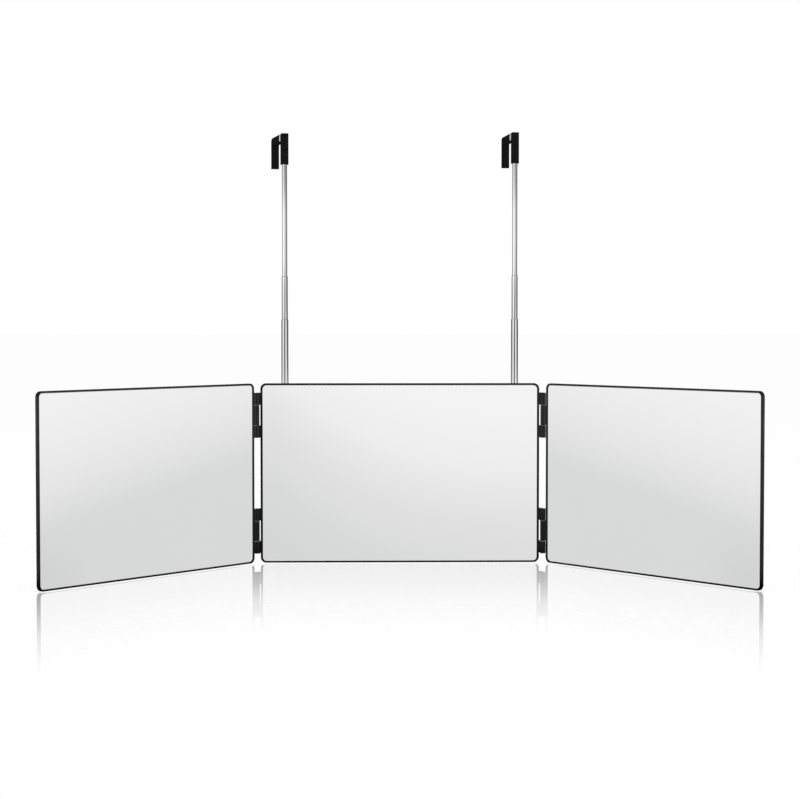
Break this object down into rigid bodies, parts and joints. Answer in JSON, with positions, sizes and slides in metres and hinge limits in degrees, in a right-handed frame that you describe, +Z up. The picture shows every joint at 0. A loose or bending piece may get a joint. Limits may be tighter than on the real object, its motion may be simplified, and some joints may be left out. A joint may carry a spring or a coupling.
{
  "type": "trifold vanity mirror",
  "caption": "Three-panel folding mirror in thin black frames that hangs over a door on telescopic chrome rods with rubber-sleeved swivelling hooks.",
  "frame": {"origin": "middle of the flat bottom edge of the centre panel's frame", "axes": "+X to the right as seen from the mirrors' front, +Y to the back, away from the mirrors, +Z up"},
  "size_m": [0.7257, 0.3249, 0.4788],
  "materials": {
    "frame_plastic": "satin black moulded plastic",
    "cover_plastic": "fine-grained black plastic",
    "mirror_glass": "silvered glass, clear and flat",
    "foam_tape": "off-white foam tape",
    "hinge_metal": "satin black coating",
    "steel": "plain zinc-plated steel",
    "chrome_tube": "polished",
    "hook_metal": "polished",
    "saddle_plastic": "satin black moulded plastic",
    "sliding_plastic": "plain off-white plastic",
    "hook_rubber": "soft matt black rubber"
  },
  "bodies": {
    "centre_panel": {"centre_frame": "frame_plastic", "centre_mirror": "mirror_glass", "centre_foam_tape": "foam_tape", "centre_rear_cover": "cover_plastic", "centre_panel_screws": "steel", "saddle_screws": "steel", "left_lower_hinge_fixed_leaf": "hinge_metal", "left_lower_hinge_pin": "steel", "left_upper_hinge_fixed_leaf": "hinge_metal", "left_upper_hinge_pin": "steel", "right_lower_hinge_fixed_leaf": "hinge_metal", "right_lower_hinge_pin": "steel", "right_upper_hinge_fixed_leaf": "hinge_metal", "right_upper_hinge_pin": "steel", "left_outer_tube": "chrome_tube", "left_tube_plug": "saddle_plastic", "left_lower_saddle": "saddle_plastic", "left_upper_saddle": "saddle_plastic", "right_outer_tube": "chrome_tube", "right_tube_plug": "saddle_plastic", "right_lower_saddle": "saddle_plastic", "right_upper_saddle": "saddle_plastic"},
    "left_panel": {"left_frame": "frame_plastic", "left_mirror": "mirror_glass", "left_foam_tape": "foam_tape", "left_rear_cover": "cover_plastic", "left_panel_screws": "steel", "left_lower_hinge_moving_leaf": "hinge_metal", "left_upper_hinge_moving_leaf": "hinge_metal"},
    "right_panel": {"right_frame": "frame_plastic", "right_mirror": "mirror_glass", "right_foam_tape": "foam_tape", "right_rear_cover": "cover_plastic", "right_panel_screws": "steel", "right_lower_hinge_moving_leaf": "hinge_metal", "right_upper_hinge_moving_leaf": "hinge_metal"},
    "left_lower_section": {"left_lower_section": "chrome_tube", "left_lower_friction_sleeve": "sliding_plastic"},
    "left_middle_section": {"left_middle_section": "chrome_tube", "left_middle_friction_sleeve": "sliding_plastic"},
    "left_upper_section": {"left_upper_section": "chrome_tube", "left_upper_friction_sleeve": "sliding_plastic", "left_swivel_pin": "steel"},
    "left_hook": {"left_hook_core": "hook_metal", "left_front_sleeve": "hook_rubber", "left_rear_sleeve": "hook_rubber", "left_grub_screw": "steel"},
    "right_lower_section": {"right_lower_section": "chrome_tube", "right_lower_friction_sleeve": "sliding_plastic"},
    "right_middle_section": {"right_middle_section": "chrome_tube", "right_middle_friction_sleeve": "sliding_plastic"},
    "right_upper_section": {"right_upper_section": "chrome_tube", "right_upper_friction_sleeve": "sliding_plastic", "right_swivel_pin": "steel"},
    "right_hook": {"right_hook_core": "hook_metal", "right_front_sleeve": "hook_rubber", "right_rear_sleeve": "hook_rubber", "right_grub_screw": "steel"}
  },
  "joints": [
    {"name": "left_panel_fold", "type": "hinge", "parent": "centre_panel", "child": "left_panel", "pos_m": [-0.159, -0.0019, 0.1], "axis": [0, 0, 1], "range_deg": [-49.3, 130.7]},
    {"name": "right_panel_fold", "type": "hinge", "parent": "centre_panel", "child": "right_panel", "pos_m": [0.159, -0.0049, 0.1], "axis": [0, 0, -1], "range_deg": [-51.4, 128.6]},
    {"name": "left_lower_slide", "type": "slide", "parent": "centre_panel", "child": "left_lower_section", "axis": [0, 0, 1], "range_m": [-0.0698, 0.0782]},
    {"name": "left_middle_slide", "type": "slide", "parent": "left_lower_section", "child": "left_middle_section", "axis": [0, 0, 1], "range_m": [-0.043, 0.105]},
    {"name": "left_upper_slide", "type": "slide", "parent": "left_middle_section", "child": "left_upper_section", "axis": [0, 0, 1], "range_m": [-0.12, 0.028]},
    {"name": "left_hook_swivel", "type": "hinge", "parent": "left_upper_section", "child": "left_hook", "pos_m": [-0.12815, 0.00874, 0.445], "axis": [0, 0, 1], "continuous": true},
    {"name": "right_lower_slide", "type": "slide", "parent": "centre_panel", "child": "right_lower_section", "axis": [0, 0, 1], "range_m": [-0.0706, 0.0774]},
    {"name": "right_middle_slide", "type": "slide", "parent": "right_lower_section", "child": "right_middle_section", "axis": [0, 0, 1], "range_m": [-0.0433, 0.1047]},
    {"name": "right_upper_slide", "type": "slide", "parent": "right_middle_section", "child": "right_upper_section", "axis": [0, 0, 1], "range_m": [-0.1205, 0.0275]},
    {"name": "right_hook_swivel", "type": "hinge", "parent": "right_upper_section", "child": "right_hook", "pos_m": [0.12815, 0.00874, 0.445], "axis": [0, 0, 1], "continuous": true}
  ]
}
